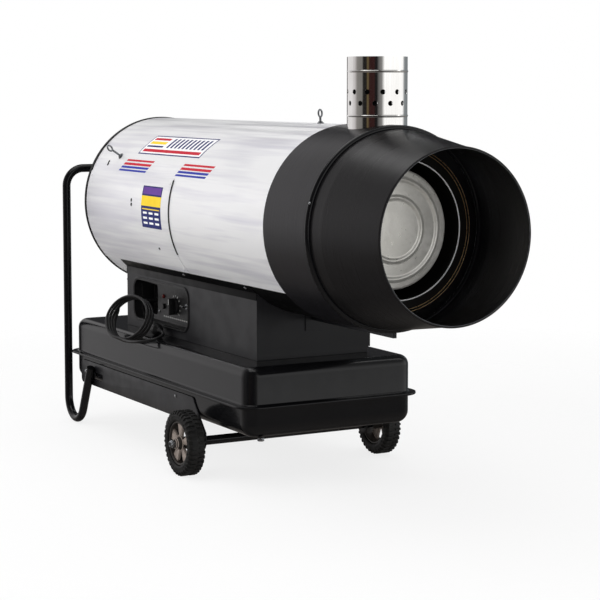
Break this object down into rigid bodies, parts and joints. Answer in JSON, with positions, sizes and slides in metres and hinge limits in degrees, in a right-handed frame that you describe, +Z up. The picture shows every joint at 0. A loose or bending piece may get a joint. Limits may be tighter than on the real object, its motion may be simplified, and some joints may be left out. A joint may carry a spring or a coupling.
{
  "type": "diesel jet heater",
  "caption": "Vented indirect-fired diesel jet heater: bright drum with black outlet cone and flue on a burner box and fuel tank, with two wheels and a tube handle.",
  "frame": {"origin": "middle of the object's box, on the floor", "axes": "+X toward the hot-air outlet, -Y the side with the controls and the lead, +Z up"},
  "size_m": [1.7914, 0.702, 1.118],
  "materials": {
    "black_paint": "satin",
    "bright_steel": "bright sheet",
    "stainless": "mirror polished",
    "heat_steel": "dull, heat marked",
    "zinc": "zinc plated",
    "black_plastic": "fine grained",
    "rubber": "moulded",
    "tyre_rubber": "moulded tread",
    "brass": "machined",
    "copper": "drawn tube",
    "aluminium": "cast",
    "red_lens": "moulded lens"
  },
  "bodies": {
    "chassis": {"drum_shell": "bright_steel", "access_cover": "bright_steel", "front_collar": "black_paint", "joint_bead": "black_paint", "outlet_cone": "black_paint", "exchanger_body": "heat_steel", "exchanger_end": "heat_steel", "flue_spigot": "heat_steel", "shield_tube": "bright_steel", "shield_ring": "heat_steel", "flue_pipe": "stainless", "fan_guard": "zinc", "motor": "aluminium", "motor_bracket": "black_paint", "fuel_pump": "brass", "burner_tube": "heat_steel", "nozzle": "brass", "pressure_line": "copper", "burner_box": "black_paint", "saddle_rail_near": "black_paint", "saddle_rail_far": "black_paint", "control_tray": "black_plastic", "toggle_bush": "zinc", "indicator_lamp": "red_lens", "cord_gland": "black_plastic", "lead_coil": "rubber", "lead_start": "rubber", "plug_body": "rubber", "plug_pin_left": "zinc", "plug_pin_right": "zinc", "lead_tail": "rubber", "tank_upper": "black_paint", "tank_lower": "black_paint", "drain_plug": "zinc", "filler_neck": "zinc", "suction_line": "copper", "ignition_transformer": "black_plastic", "wheel_bracket_near": "black_paint", "wheel_bracket_far": "black_paint", "axle": "black_paint", "hub_nut_near": "zinc", "hub_nut_far": "zinc", "handle": "black_paint", "support_bar": "black_paint", "eye_bolt_rear": "zinc", "eye_bolt_front": "zinc", "handle_screw_near": "zinc", "handle_screw_far": "zinc"},
    "fan_rotor": {"fan": "aluminium", "motor_shaft": "zinc"},
    "wheel_near": {"tyre_near": "tyre_rubber", "rim_near": "black_plastic"},
    "wheel_far": {"tyre_far": "tyre_rubber", "rim_far": "black_plastic"},
    "thermostat": {"thermostat_knob": "black_plastic"},
    "switch_lever": {"toggle_lever": "zinc"},
    "reset": {"reset_button": "black_plastic"},
    "cap": {"filler_cap": "black_plastic"}
  },
  "joints": [
    {"name": "fan_spin", "type": "hinge", "parent": "chassis", "child": "fan_rotor", "pos_m": [-0.69925, 0, 0.693], "axis": [1, 0, 0], "continuous": true},
    {"name": "wheel_near_spin", "type": "hinge", "parent": "chassis", "child": "wheel_near", "pos_m": [0.04975, -0.306, 0.08875], "axis": [0, 1, 0], "continuous": true},
    {"name": "wheel_far_spin", "type": "hinge", "parent": "chassis", "child": "wheel_far", "pos_m": [0.04975, 0.306, 0.08875], "axis": [0, 1, 0], "continuous": true},
    {"name": "thermostat_turn", "type": "hinge", "parent": "chassis", "child": "thermostat", "pos_m": [-0.35025, -0.1443, 0.406], "axis": [0, -1, 0], "range_deg": [-135, 135]},
    {"name": "switch_tilt", "type": "hinge", "parent": "chassis", "child": "switch_lever", "pos_m": [-0.26425, -0.1478, 0.414], "axis": [1, 0, 0], "range_deg": [-12, 12]},
    {"name": "reset_press", "type": "slide", "parent": "chassis", "child": "reset", "axis": [0, 1, 0], "range_m": [0, 0.003], "stiffness_N_per_m": 300},
    {"name": "cap_lift", "type": "slide", "parent": "chassis", "child": "cap", "axis": [0, 0, 1], "range_m": [0, 0.06]}
  ]
}
